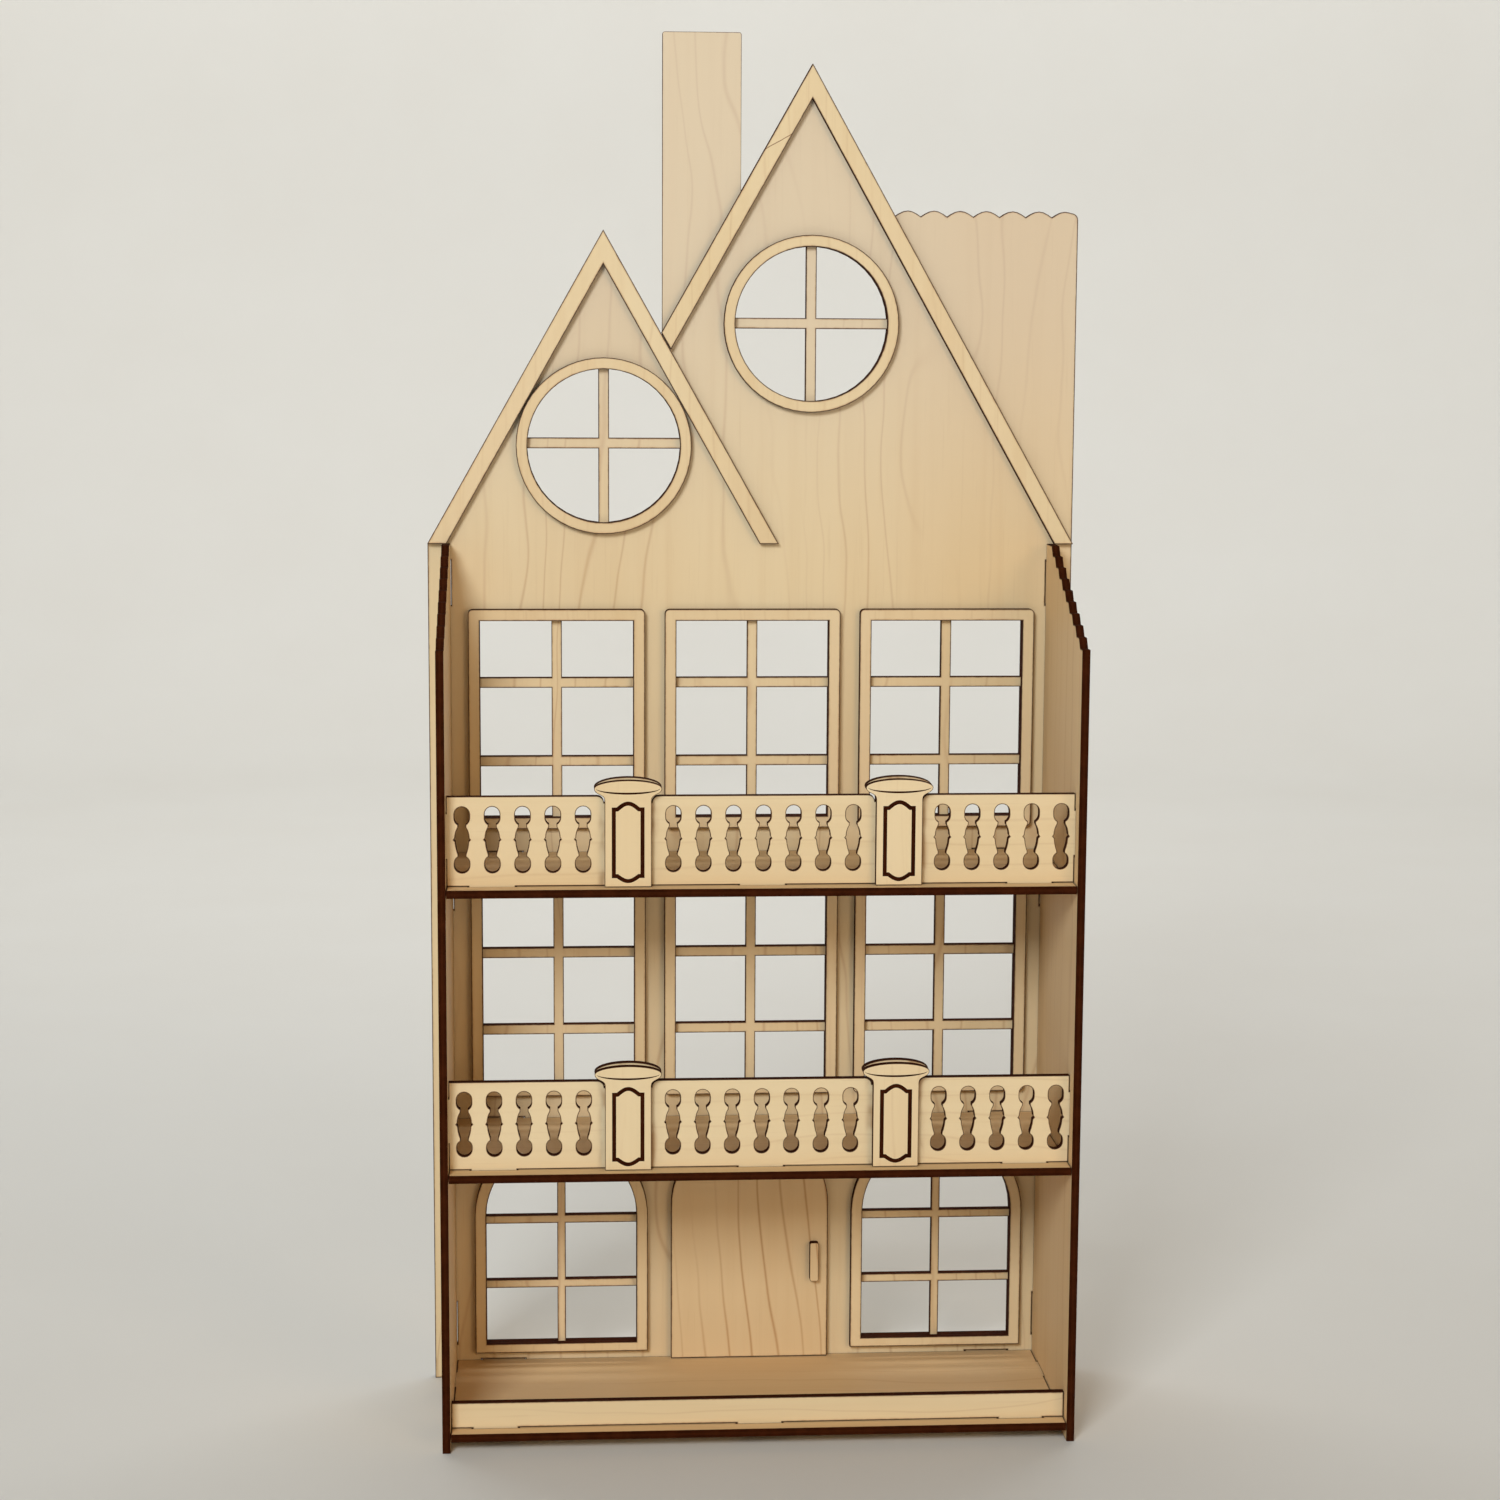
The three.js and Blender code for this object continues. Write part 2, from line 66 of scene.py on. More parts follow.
# ---------------------------------------------------------------- shader maths
class Value:
    """A shader socket. Python's operators on it add the Math nodes of the same meaning."""

    def __init__(self, recipe, socket):
        self.recipe = recipe
        self.socket = socket

    def math(self, operation, *inputs, clamp=False):
        sockets = {i: v for i, v in enumerate(inputs)}
        node = self.recipe.node("ShaderNodeMath", {"operation": operation, "use_clamp": clamp}, sockets)
        return Value(self.recipe, node.outputs[0])

    def __add__(self, other):
        return self.math("ADD", self, other)

    def __sub__(self, other):
        return self.math("SUBTRACT", self, other)

    def __rsub__(self, other):
        return self.math("SUBTRACT", other, self)

    def __mul__(self, other):
        return self.math("MULTIPLY", self, other)

    def __pow__(self, other):
        return self.math("POWER", self, other)

    def __abs__(self):
        return self.math("ABSOLUTE", self)

    __radd__ = __add__
    __rmul__ = __mul__

    def sine(self):
        return self.math("SINE", self)

    def clipped(self):
        return self.math("ADD", self, 0.0, clamp=True)

    def step(self, low, high):
        """0 under low, 1 over high, and an S-curve between them. low may be the larger one."""
        node = self.recipe.node(
            "ShaderNodeMapRange",
            {"interpolation_type": "SMOOTHSTEP", "clamp": True},
            {"Value": self, "From Min": low, "From Max": high, "To Min": 0.0, "To Max": 1.0},
        )
        return Value(self.recipe, node.outputs[0])


class Recipe:
    """One material being made. node() makes every node in it."""

    def __init__(self, name):
        self.material = bpy.data.materials.new(name)
        self.material.use_nodes = True
        self.tree = self.material.node_tree
        self.tree.nodes.clear()

    def node(self, kind, settings=None, sockets=None):
        node = self.tree.nodes.new(kind)
        for key, value in (settings or {}).items():
            setattr(node, key, value)
        for key, value in (sockets or {}).items():
            target = node.inputs[key]
            if isinstance(value, Value):
                self.tree.links.new(value.socket, target)
            elif isinstance(value, bpy.types.NodeSocket):
                self.tree.links.new(value, target)
            else:
                target.default_value = value
        return node

    def value(self, socket):
        return Value(self, socket)

    def attribute(self, name):
        return self.value(self.node("ShaderNodeAttribute", {"attribute_name": name}).outputs["Fac"])

    def place(self, scale, offset=(0.0, 0.0, 0.0)):
        """Object coordinates, moved by offset and then stretched by scale along each axis."""
        coordinates = self.node("ShaderNodeTexCoord").outputs["Object"]
        mapping = self.node(
            "ShaderNodeMapping",
            {"vector_type": "POINT"},
            {"Vector": coordinates, "Scale": scale, "Location": offset},
        )
        return mapping.outputs[0]

    def noise(self, vector, scale, detail=3.0, roughness=0.5):
        node = self.node(
            "ShaderNodeTexNoise",
            {"noise_dimensions": "3D"},
            {"Vector": vector, "Scale": scale, "Detail": detail, "Roughness": roughness},
        )
        return self.value(node.outputs["Fac"])

    def blend(self, amount, first, second, kind="MIX"):
        """The first colour going to the second by amount."""
        node = self.node("ShaderNodeMix", {"data_type": "RGBA", "blend_type": kind})
        for index, value in ((0, amount), (6, first), (7, second)):
            source = value.socket if isinstance(value, Value) else value
            if isinstance(source, bpy.types.NodeSocket):
                self.tree.links.new(source, node.inputs[index])
            else:
                node.inputs[index].default_value = source
        return node.outputs[2]

    def finish(self, colour, roughness, height, strength, distance, gloss=0.4):
        """Joins colour, roughness and bump to one Principled shader."""
        bump = self.node(
            "ShaderNodeBump", {}, {"Height": height, "Strength": strength, "Distance": distance}
        )
        shader = self.node(
            "ShaderNodeBsdfPrincipled",
            {},
            {"Base Color": colour, "Roughness": roughness, "Normal": bump.outputs[0], "IOR": 1.45,
             "Specular IOR Level": gloss},
        )
        output = self.node("ShaderNodeOutputMaterial")
        self.tree.links.new(shader.outputs[0], output.inputs[0])
        return self.material


def shade(red, green, blue):
    """A screen colour, 0 to 255 each, as the linear colour that sockets hold."""
    def linear(c):
        c = c / 255.0
        return c / 12.92 if c <= 0.04045 else ((c + 0.055) / 1.055) ** 2.4
    return (linear(red), linear(green), linear(blue), 1.0)


# ---------------------------------------------------------------- finishes
def birch(name, grain, figure, seed, lines, wander=1.0, slant=0.0, bands=1.0, warm_light=0.0, extra=None):
    """Sanded birch veneer. Its grain runs along one axis: every pattern is stretched along it.

    Slow noise moves the cream between a yellower and a pinker one. Growth lines are a sharpened sine of the
    distance across the grain, one each `lines` mm, pushed about by slow noise. Fibres are fine stretched
    noise.
    Its tint to gold is painted warm light, as inside the rooms, and extra is a function that adds more colour
    to one board, such as a veneer seam and the wall's painted cool light. Close to a cut the face is toasted,
    and right at it burnt; that burnt line is drawn darker than the char alone, as painted shade along the
    cut.
    """
    r = Recipe(name)
    slow, fine, bent = [1.0, 1.0, 1.0], [1.0, 1.0, 1.0], [1.0, 1.0, 1.0]
    slow[grain], fine[grain], bent[grain] = 0.14, 0.03, 0.5
    offset = (seed * 1.7, seed * 0.9, seed * 2.3)
    slow_place = r.place(slow, offset)
    fine_place = r.place(fine, offset)

    tide = r.noise(slow_place, 11.0, 3.0, 0.5)
    blush = r.noise(slow_place, 7.0, 2.0, 0.5)
    drift = r.noise(slow_place, 16.0, 1.0, 0.4)
    sway = r.noise(r.place(bent, offset), 15.0, 2.0, 0.45)
    spread = [1.0 / (lines * MM)] * 3
    spread[grain] = slant / (lines * MM)
    across = r.node(
        "ShaderNodeVectorMath",
        {"operation": "DOT_PRODUCT"},
        {0: r.place((1.0, 1.0, 1.0)), 1: tuple(spread)},
    )
    phase = r.value(across.outputs["Value"]) + (drift * 3.4 + sway * 1.8) * wander
    wave = (phase * math.tau).sine() * 0.5 + 0.5
    growth = (wave ** 48.0) * r.noise(slow_place, 20.0, 1.0).step(0.30, 0.58)

    fibre = r.noise(fine_place, 620.0, 4.0, 0.62)
    streak = r.noise(fine_place, 130.0, 3.0, 0.5)

    colour = r.blend(tide.step(0.28, 0.74) * (0.8 * bands), CREAM, HONEY)
    colour = r.blend(blush.step(0.45, 0.75) * (0.5 * bands), colour, BLUSH)
    colour = r.blend(streak.step(0.45, 0.80) * (0.18 * bands), colour, TAN)
    # Painted warm light: the boards inside the rooms are tinted gold, as their warm light would tint them.
    colour = r.blend(warm_light, colour, WARM_LIGHT_GOLD)
    colour = r.blend(growth * figure, colour, GROWTH_LINE)
    colour = r.blend(fibre.step(0.55, 0.8) * 0.16, colour, FIBRE)
    if extra:
        colour = extra(r, colour)

    distance = r.attribute("from_cut") * 1000.0
    ragged = r.noise(r.place((1.0, 1.0, 1.0), offset), 300.0, 2.0, 0.6)
    patchy = r.noise(r.place((1.0, 1.0, 1.0), offset), 30.0, 1.0, 0.5)
    toast = (distance + (ragged - 0.5) * 0.8).step(1.45, 0.1) * (patchy.step(0.35, 0.70) * 0.65 + 0.2)
    # The burnt line along each cut: real laser char, drawn darker as painted shade along the cut.
    burn_and_shade = (distance + (ragged - 0.5) * 0.3).step(0.64, 0.30)
    colour = r.blend(toast * 0.6, colour, TOASTED)
    colour = r.blend(burn_and_shade * 0.9, colour, BURNT_AND_SHADE)

    roughness = (fibre * 0.14 + 0.52 + burn_and_shade * 0.15).clipped()
    height = fibre * 0.5 + streak * 0.35 - growth * 0.12
    return r.finish(colour, roughness, height, 0.16, 0.00012)


def charred(name):
    """A laser-cut edge: near-black brown, the plies showing faintly, finely ridged."""
    r = Recipe(name)
    ply = r.attribute("through_ply")
    soot = r.noise(r.place((1.0, 1.0, 1.0)), 120.0, 3.0, 0.6)
    ridges = r.noise(r.place((1.0, 1.0, 1.0)), 900.0, 2.0, 0.6)
    core = (abs(ply - 0.5) * 2.0).step(0.46, 0.30)
    glue = abs(abs(ply - 0.5) - 0.18).step(0.035, 0.0)
    colour = r.blend(soot.step(0.35, 0.70), shade(48, 17, 4), shade(62, 26, 9))
    colour = r.blend(core * 0.30, colour, shade(76, 36, 14))
    colour = r.blend(glue * 0.5, colour, shade(24, 9, 3))
    colour = r.blend(ridges.step(0.55, 0.8) * 0.25, colour, shade(84, 44, 18))
    roughness = (soot * 0.2 + 0.68).clipped()
    return r.finish(colour, roughness, ridges * 0.6 + core * 0.2 - glue * 0.4, 0.35, 0.0002, gloss=0.03)


# ---------------------------------------------------------------- outlines
def closed_chains(following):
    """Points in order round each closed loop, from each point's follower.

    Doubling: after k rounds a point knows the lowest index and the count of steps over 2^k followers.
    """
    count = len(following)
    index = np.arange(count)
    rounds = int(math.ceil(math.log2(count))) + 1
    lowest, jump = index.copy(), following.copy()
    for _ in range(rounds):
        lowest = np.minimum(lowest, lowest[jump])
        jump = jump[jump]
    root = lowest == index
    jump = np.where(root, index, following)
    steps = np.where(root, 0, 1)
    for _ in range(rounds):
        steps = steps + steps[jump]
        jump = jump[jump]
    place = np.where(root, -count, -steps)
    order = np.lexsort((place, lowest))
    starts = np.flatnonzero(np.diff(lowest[order])) + 1
    return np.split(order, starts)


def board_outlines(node):
    """The thin axis of a board's node, its span along it, and the loops of its upper face, in metres.

    The loops are the edges that only one triangle of that face uses; the material is on their left.
    """
    mesh = node.data
    points = np.empty(len(mesh.vertices) * 3)
    mesh.vertices.foreach_get("co", points)
    mesh.calc_loop_triangles()
    triangles = np.empty(len(mesh.loop_triangles) * 3, dtype=np.int32)
    mesh.loop_triangles.foreach_get("vertices", triangles)
    keys, merged = np.unique(np.round(points.reshape(-1, 3) / GRID), axis=0, return_inverse=True)
    points = keys * GRID
    triangles = merged.reshape(-1)[triangles].reshape(-1, 3)
    span = points.max(0) - points.min(0)
    axis = int(np.argmin(span))
    u, v = (axis + 1) % 3, (axis + 2) % 3
    a, b, c = (points[triangles[:, i]] for i in range(3))
    normal = np.cross(b - a, c - a)
    upper = triangles[normal[:, axis] > 0.9 * np.linalg.norm(normal, axis=1)]
    tail, head = upper.ravel(), np.roll(upper, -1, axis=1).ravel()
    total = len(points)
    alone = ~np.isin(tail * total + head, head * total + tail)
    tail, head = tail[alone], head[alone]
    used, small_tail = np.unique(tail, return_inverse=True)
    following = np.empty(len(used), dtype=np.int64)
    following[small_tail] = np.searchsorted(used, head)
    flat = points[used][:, [u, v]]
    loops = [flat[chain] for chain in closed_chains(following)]
    return axis, (points[:, axis].min(), points[:, axis].max()), [straightened(loop) for loop in loops]


def straightened(loop):
    """The loop without the points that lie on the straight line between their neighbours."""
    before, after = np.roll(loop, 1, axis=0), np.roll(loop, -1, axis=0)
    p, q = loop - before, after - loop
    turn = p[:, 0] * q[:, 1] - p[:, 1] * q[:, 0]
    return loop[np.abs(turn) > 1e-6 * np.linalg.norm(p, axis=1) * np.linalg.norm(q, axis=1) + 1e-14]


def mitre(loop):
    """Per point, the step to its left that moves both its edges left by one: (n1 + n2) / (1 + n1.n2)."""
    edge = np.roll(loop, -1, axis=0) - loop
    edge = edge / np.linalg.norm(edge, axis=1)[:, None]
    left = np.stack([-edge[:, 1], edge[:, 0]], axis=1)
    before = np.roll(left, 1, axis=0)
    return (left + before) / np.maximum(1.0 + (left * before).sum(1), 0.25)[:, None]


def share_of_rim(loop, rim):
    """Per point, how much of the rim's inset fits there, from 0 to 1.

    Moved left by d, the edge between turns a and b gets shorter by d * (tan(a / 2) + tan(b / 2)), and it
    may lose 0.7 of its length.
    """
    edge = np.roll(loop, -1, axis=0) - loop
    length = np.linalg.norm(edge, axis=1)
    before = np.roll(edge, 1, axis=0)
    cross = before[:, 0] * edge[:, 1] - before[:, 1] * edge[:, 0]
    half_turn = np.tan(0.5 * np.arctan2(cross, (before * edge).sum(1)))
    squeeze = half_turn + np.roll(half_turn, -1)
    most = np.where(squeeze > 1e-9, 0.7 * length / np.maximum(squeeze, 1e-9), rim)
    most = np.minimum(most, np.roll(most, 1))
    most = np.minimum(most, np.minimum(np.roll(most, 1), np.roll(most, -1)))
    return np.minimum(1.0, most / rim)


# ---------------------------------------------------------------- boards
class Sheet:
    """A mesh gathered from carried profiles and filled faces, in a board's own u, v and height."""

    def __init__(self):
        self.points, self.faces, self.slots = [], [], []
        self.from_cut, self.through = [], []
        self.count = 0

    def add(self, points, from_cut, through, faces, slot):
        self.points.append(points)
        self.from_cut.append(from_cut)
        self.through.append(through)
        self.faces.append(faces + self.count)
        self.slots.append(np.broadcast_to(slot, len(faces)).copy())
        self.count += len(points)

    def carry(self, loop, profile, slots, low, high, near, share=None):
        """A profile of (inset, height) carried along a closed loop; near is its points' from_cut.

        point(i, j) = loop[i] + inset[j] * share[i] * mitre[i], where share is 1 unless the corner is tight.
        """
        inset, height = np.array(profile).T
        n, m = len(loop), len(profile)
        inset = inset[None, :] * (np.ones(n) if share is None else share)[:, None]
        flat = loop[:, None, :] + inset[:, :, None] * mitre(loop)[:, None, :]
        points = np.concatenate([flat, np.broadcast_to(height[None, :, None], (n, m, 1))], axis=2)
        i, j = np.meshgrid(np.arange(n), np.arange(m - 1), indexing="ij")
        after = (i + 1) % n
        quads = np.stack([i * m + j, i * m + j + 1, after * m + j + 1, after * m + j], axis=-1).reshape(-1, 4)
        through = (np.broadcast_to(height, (n, m)) - low) / (high - low)
        near = np.broadcast_to(np.array(near), (n, m))
        slot = np.broadcast_to(np.array(slots), (n, m - 1)).reshape(-1)
        self.add(points.reshape(-1, 3), near.ravel(), through.ravel(), quads, slot)

    def fill(self, loops, height, upward, from_cut, through, slot=0):
        """A flat face between closed loops, at one height, looking up or down."""
        flat = np.concatenate(loops)
        lists = [[Vector((x, y, 0.0)) for x, y in loop] for loop in loops]
        triangles = np.array(tessellate_polygon(lists))
        a, b, c = (flat[triangles[:, i]] for i in range(3))
        area = (b - a)[:, 0] * (c - a)[:, 1] - (b - a)[:, 1] * (c - a)[:, 0]
        wrong = (area < 0) if upward else (area > 0)
        triangles[wrong] = triangles[wrong][:, ::-1]
        points = np.column_stack([flat, np.full(len(flat), height)])
        self.add(points, np.full(len(flat), from_cut), np.full(len(flat), through), triangles, slot)

    def make(self, name, axis, materials):
        """The mesh object, turned from (u, v, height) to its axes, with its doubles merged."""
        points = np.concatenate(self.points)
        place = np.empty_like(points)
        place[:, (axis + 1) % 3], place[:, (axis + 2) % 3], place[:, axis] = points.T
        mesh = bpy.data.meshes.new(name)
        faces = [tuple(face) for block in self.faces for face in block.tolist()]
        mesh.from_pydata(place.tolist(), [], faces)
        mesh.polygons.foreach_set("material_index", np.concatenate(self.slots).astype(np.int32))
        for label, values in (("from_cut", self.from_cut), ("through_ply", self.through)):
            mesh.attributes.new(label, "FLOAT", "POINT")
            mesh.attributes[label].data.foreach_set("value", np.concatenate(values).astype(np.float32))
        for material in materials:
            mesh.materials.append(material)
        piece = bpy.data.objects.new(name, mesh)
        bpy.context.scene.collection.objects.link(piece)
        merge_doubles(mesh)
        return piece


def merge_doubles(mesh):
    """Points at one place become one, so that the rims and the faces are one closed skin."""
    work = bmesh.new()
    work.from_mesh(mesh)
    bmesh.ops.remove_doubles(work, verts=work.verts, dist=WELD)
    work.to_mesh(mesh)
    work.free()


def rim_profile(low, high, rim):
    """The profile from the upper face over both arrises to the lower face.

    Also the finish of each strip, 0 for face and 1 for cut, and from_cut at each point.
    """
    middle = 0.4 * rim
    profile = [(rim, high), (middle, high), (ARRIS, high), (0.0, high - ARRIS),
               (0.0, low + ARRIS), (ARRIS, low), (middle, low), (rim, low)]
    return profile, [0, 0, 1, 1, 1, 0, 0], [RIM, middle, ARRIS, 0.0, 0.0, ARRIS, middle, RIM]


def inset_loop(loop, inset, share=1.0):
    return loop + inset * (mitre(loop).T * share).T


def groove_profile(top, half, depth):
    """A shallow engraved line: down one wall, along the floor and up the other."""
    wall = 0.12 * half
    return [(-half, top), (-half + wall, top - depth), (half - wall, top - depth), (half, top)], [1, 1, 1]


def make_board(node_name, face, cut, rim=RIM, lines=(), pockets=()):
    """A board from its node's outlines, with any engraving on its lower face.

    lines is a list of (closed loop, half width), each with an island of face inside it. pockets are
    closed loops.
    """
    axis, (low, high), loops = board_outlines(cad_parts[node_name])
    sheet = Sheet()
    profile, slots, near = rim_profile(low, high, rim)
    inner = []
    for loop in loops:
        share = share_of_rim(loop, rim)
        sheet.carry(loop, profile, slots, low, high, near, share)
        inner.append(inset_loop(loop, rim, share))
    sheet.fill(inner, high, True, RIM, 1.0)
    engraved = [engrave_line(sheet, loop, half, low, high) for loop, half in lines]
    engraved += [engrave_pocket(sheet, loop, low, high) for loop in pockets]
    sheet.fill(inner + engraved, low, False, RIM, 0.0)
    piece = sheet.make("board_" + node_name, axis, [face, cut])
    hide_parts(node_name)
    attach(piece, "root")


def engrave_line(sheet, loop, half, low, high):
    """The groove along a loop and the island of face inside it. Returns the groove's outer edge."""
    profile, slots = groove_profile(low, half, -ENGRAVING)
    sheet.carry(loop, profile[::-1], slots, low, high, [RIM, 0.0, 0.0, RIM])
    sheet.fill([inset_loop(loop, half)], low, False, RIM, 0.0)
    return inset_loop(loop, -half)


def engrave_pocket(sheet, loop, low, high):
    """A shallow pocket inside a loop: a wall going down and in, and a floor. Returns the loop."""
    share = share_of_rim(loop, POCKET_WALL)
    wall = [(POCKET_WALL, low + ENGRAVING), (0.0, low)]
    sheet.carry(loop, wall, [1], low, high, [0.0, RIM], share)
    sheet.fill([inset_loop(loop, POCKET_WALL, share)], low + ENGRAVING, False, 0.0, 0.05, slot=1)
    return loop


# ---------------------------------------------------------------- what each board is made of
CREAM = shade(238, 217, 177)
HONEY = shade(229, 202, 156)
BLUSH = shade(233, 203, 164)
TAN = shade(211, 174, 122)
WARM_LIGHT_GOLD = shade(205, 156, 92)
GROWTH_LINE = shade(186, 140, 92)
FIBRE = shade(196, 160, 112)
TOASTED = shade(178, 122, 66)
# Colour of the burnt line at a cut: char, and painted shade along it.
BURNT_AND_SHADE = shade(62, 29, 10)


def cool_light_toward_roof(r, colour):
    """Painted cool daylight: the wall gets paler and a little greyer from the top storey up to the roof."""
    height = r.value(r.node("ShaderNodeSeparateXYZ", {}, {0: r.place((1.0, 1.0, 1.0))}).outputs[2])
    return r.blend(height.step(0.40, 0.60) * 0.55, colour, shade(222, 207, 188))


def browned_beside_pedestals(r, colour):
    """Brown patches on the balustrade beside the pedestals, darkest at their edges, fading away sideways and
    broken up by noise.
    """
    x = r.value(r.node("ShaderNodeSeparateXYZ", {}, {0: r.place((1000.0, 1000.0, 1000.0))}).outputs[0])
    beside = abs(abs(x + 0.4) - 67.0) - 11.5
    patch = r.noise(r.place((1.0, 1.0, 0.5)), 90.0, 2.0, 0.6).step(0.44, 0.66)
    return r.blend(beside.step(4.5, 0.0) * patch * 0.75, colour, shade(172, 120, 68))


def split_veneer(r, colour):
    """A thin brown line across the right gable's left leg, where two strips of veneer meet.

    It is where the distance along a slanted direction has one value, left of the gable's point.
    """
    place = r.place((1000.0, 1000.0, 1000.0))
    slanted = (-0.488, 0.0, 0.872)
    along = r.node("ShaderNodeVectorMath", {"operation": "DOT_PRODUCT"}, {0: place, 1: slanted})
    x = r.value(r.node("ShaderNodeSeparateXYZ", {}, {0: place}).outputs[0])
    waver = r.noise(r.place((1.0, 1.0, 1.0)), 120.0, 1.0)
    line = abs(r.value(along.outputs["Value"]) + waver * 1.2 - 566.0).step(0.34, 0.10) * x.step(26.0, 25.0)
    return r.blend(line * 0.8, colour, shade(122, 76, 42))


wall_face = birch("birch_wall", Z, figure=0.36, seed=0.11, lines=19.0, wander=1.4, extra=cool_light_toward_roof)
# The sides, shelves and door are tinted gold: painted warm light of the rooms.
side_face = birch("birch_sides", Z, figure=0.25, seed=0.37, lines=15.0, warm_light=0.42)
shelf_face = birch("birch_shelves", X, figure=0.25, seed=0.53, lines=14.0, warm_light=0.42)
rail_face = birch("birch_rail", X, figure=0.2, seed=0.61, lines=9.0)
front_face = birch("birch_balustrades", X, figure=0.16, seed=0.71, lines=11.0, extra=browned_beside_pedestals)
pedestal_face = birch("birch_pedestals", Z, figure=0.12, seed=0.19, lines=11.0)
frame_face = birch("birch_frames", Z, figure=0.12, seed=0.83, lines=12.0)
door_face = birch("birch_door", Z, figure=0.75, seed=0.29, lines=13.0, wander=0.8, slant=0.10, bands=0.6,
                  warm_light=0.24)
gable_face = birch("birch_left_gable", Z, figure=0.15, seed=0.97, lines=12.0)
split_gable_face = birch("birch_right_gable", Z, figure=0.15, seed=0.43, lines=12.0, extra=split_veneer)
cut_edge = charred("charred_cut")

FACES = {
    "back_panel": wall_face,
    "left_side": side_face, "right_side": side_face,
    "ground_floor": shelf_face, "middle_shelf": shelf_face, "upper_shelf": shelf_face,
    "front_rail": rail_face, "lower_balustrade": front_face, "upper_balustrade": front_face,
    "door": door_face, "door_handle": door_face,
    "left_fascia": gable_face, "right_fascia": split_gable_face,
}


# ---------------------------------------------------------------- pedestals
def panel_frame(centre, base):
    """The engraved outline on a pedestal, as (z, x) points.

    It has straight sides, small shoulders and an arch at each end, half a cosine wave.
    """
    half, low, high, arch = 7.05 * MM, 5.7 * MM, 38.9 * MM, 5.3 * MM
    x = np.linspace(1.0, -1.0, 23) * arch
    bump = np.cos(0.5 * np.pi * x / arch)
    top = np.column_stack([high + 2.9 * MM * bump, x])
    bottom = np.column_stack([low - 2.5 * MM * bump, x])[::-1]
    loop = np.concatenate([[[low, half], [high, half]], top, [[high, -half], [low, -half]], bottom])
    return loop + np.array([base, centre])


def cap_line(centre, base):
    """The engraved lower lip of a cap, as (z, x) points: a band along the lower half of an ellipse.

    The band's half width is 0.1 mm plus 0.38 mm times the root of the sine along it, so it thins to both
    ends.
    """
    angle = np.linspace(math.radians(188.0), math.radians(352.0), 41)
    half = 0.10 * MM + 0.38 * MM * np.sqrt(np.abs(np.sin(angle)))
    def edge(side):
        return np.column_stack([
            base + 49.3 * MM + (2.56 * MM + side * half) * np.sin(angle),
            centre + (15.7 * MM + side * 0.3 * half) * np.cos(angle),
        ])
    return np.concatenate([edge(1.0), edge(-1.0)[::-1]])


def ccw(loop):
    """The loop turned so that its inside is on its left."""
    x, y = loop.T
    area = (x * np.roll(y, -1) - y * np.roll(x, -1)).sum()
    return loop if area > 0 else loop[::-1]


def make_pedestal(node_name):
    low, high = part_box(node_name)
    centre = 0.5 * (low[0] + high[0])
    base = low[2] - JOINT_GAP
    frame_line = (ccw(panel_frame(centre, base)), 1.0 * MM)
    lip = ccw(cap_line(centre, base))
    make_board(node_name, pedestal_face, cut_edge, NARROW_RIM, [frame_line], [lip])


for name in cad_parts:
    if "pedestal" in name:
        make_pedestal(name)
    else:
        rim = FRET_RIM if "balustrade" in name else RIM
        make_board(name, FACES.get(name, frame_face), cut_edge, rim)


# ---------------------------------------------------------------- floor, light and camera
def make_floor():
    """A pale floor that curves up into a round wall, far out, all in one.

    A profile of (radius, height) is spun about the upright axis: flat, then a quarter circle, then
    straight up.
    """
    flat, cove, top = 2.3, 0.9, 2.8
    bend = np.linspace(0.0, 0.5 * np.pi, 25)
    radius = np.concatenate([[0.0, 0.8, 1.6], flat + cove * np.sin(bend), [flat + cove]])
    height = np.concatenate([[0.0, 0.0, 0.0], cove * (1.0 - np.cos(bend)), [top]])
    turn = np.linspace(0.0, math.tau, 96, endpoint=False)
    n, m = len(turn), len(radius) - 1
    ring = np.stack([
        radius[None, 1:] * np.cos(turn)[:, None],
        radius[None, 1:] * np.sin(turn)[:, None],
        np.broadcast_to(height[None, 1:], (n, m)),
    ], axis=-1).reshape(-1, 3)
    i, j = np.meshgrid(np.arange(n), np.arange(m - 1), indexing="ij")
    after = (i + 1) % n
    quads = np.stack([i * m + j, i * m + j + 1, after * m + j + 1, after * m + j], axis=-1).reshape(-1, 4)
    centre = len(ring)
    spokes = np.column_stack([np.full(n, centre), np.arange(n) * m, (np.arange(n) + 1) % n * m])
    mesh = bpy.data.meshes.new("floor")
    mesh.from_pydata(ring.tolist() + [(0.0, 0.0, 0.0)], [], quads.tolist() + spokes.tolist())
    mesh.polygons.foreach_set("use_smooth", np.ones(len(mesh.polygons), dtype=bool))
    r = Recipe("pale_floor")
    mottle = r.noise(r.place((1.0, 1.0, 1.0)), 6.0, 2.0, 0.5)
    colour = r.blend(mottle, shade(222, 221, 217), shade(219, 217, 212))
    mesh.materials.append(r.finish(colour, 0.9, mottle, 0.02, 0.0005, gloss=0.1))
    floor = bpy.data.objects.new("floor", mesh)
    bpy.context.scene.collection.objects.link(floor)


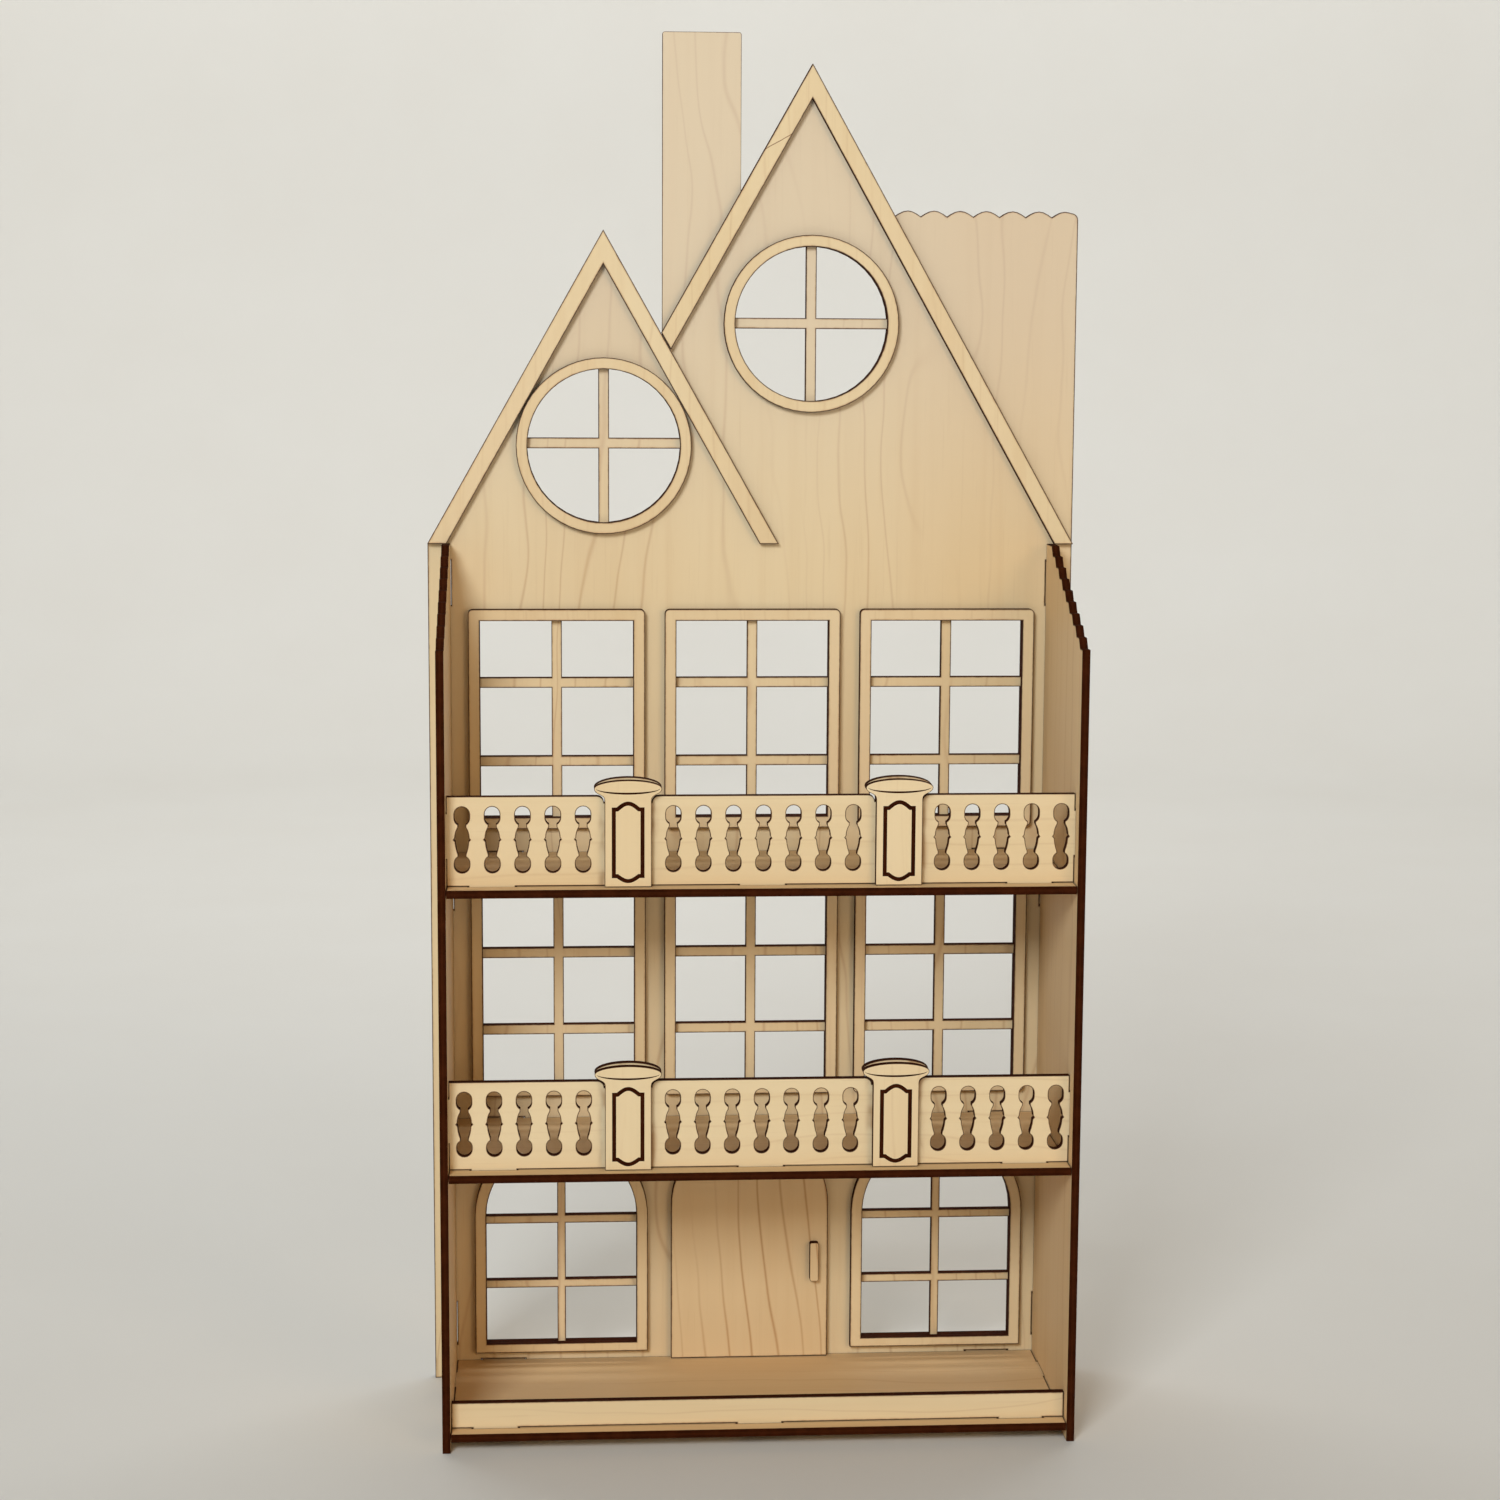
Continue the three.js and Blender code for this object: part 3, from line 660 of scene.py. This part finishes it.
def add_area_light(name, place, target, size, power, colour):
    lamp = bpy.data.lights.new(name, "AREA")
    lamp.shape = "RECTANGLE"
    lamp.size, lamp.size_y = size
    lamp.energy = power
    lamp.color = colour
    holder = bpy.data.objects.new(name, lamp)
    holder.location = place
    holder.visible_camera = False
    holder.rotation_euler = (Vector(target) - Vector(place)).to_track_quat("-Z", "Y").to_euler()
    bpy.context.scene.collection.objects.link(holder)


def light_studio():
    """Daylight from the upper left, a warm glow from the right, and a lamp turned to the wall behind."""
    world = bpy.data.worlds.new("studio")
    world.use_nodes = True
    background = world.node_tree.nodes["Background"]
    background.inputs[0].default_value = (1.0, 0.92, 0.80, 1.0)
    background.inputs[1].default_value = 0.18
    bpy.context.scene.world = world
    bpy.context.scene.view_settings.view_transform = "Standard"
    middle = (0.0, 0.0, 0.35)
    add_area_light("window_light", (-0.85, -2.20, 1.50), middle, (0.75, 0.75), 37.0, (0.90, 0.96, 1.0))
    add_area_light("warm_fill", (1.1, -1.9, 0.75), middle, (0.8, 0.8), 7.5, (1.0, 0.66, 0.34))
    add_area_light("wall_light", (0.0, 0.9, 2.6), (0.0, 3.1, 0.7), (2.5, 0.6), 54.0, (0.99, 1.0, 1.0))


def set_camera():
    """Yaw to the right, pitch down and a little roll, about a point left of and above the house's middle."""
    yaw, pitch, roll = math.radians(3.91), math.radians(-7.81), math.radians(0.30)
    ahead = Vector((math.sin(yaw) * math.cos(pitch), math.cos(yaw) * math.cos(pitch), math.sin(pitch)))
    right = Vector((math.cos(yaw), -math.sin(yaw), 0.0))
    up = right.cross(ahead)
    level = Matrix((right * math.cos(roll) + up * math.sin(roll),
                    up * math.cos(roll) - right * math.sin(roll), -ahead)).transposed()
    camera = bpy.data.objects.new("camera", bpy.data.cameras.new("camera"))
    camera.data.lens = 70.48
    camera.data.sensor_width = 36.0
    camera.matrix_world = Matrix.Translation((-0.1050, -1.4763, 0.5510)) @ level.to_4x4()
    bpy.context.scene.collection.objects.link(camera)
    bpy.context.scene.camera = camera


make_floor()
light_studio()
set_camera()
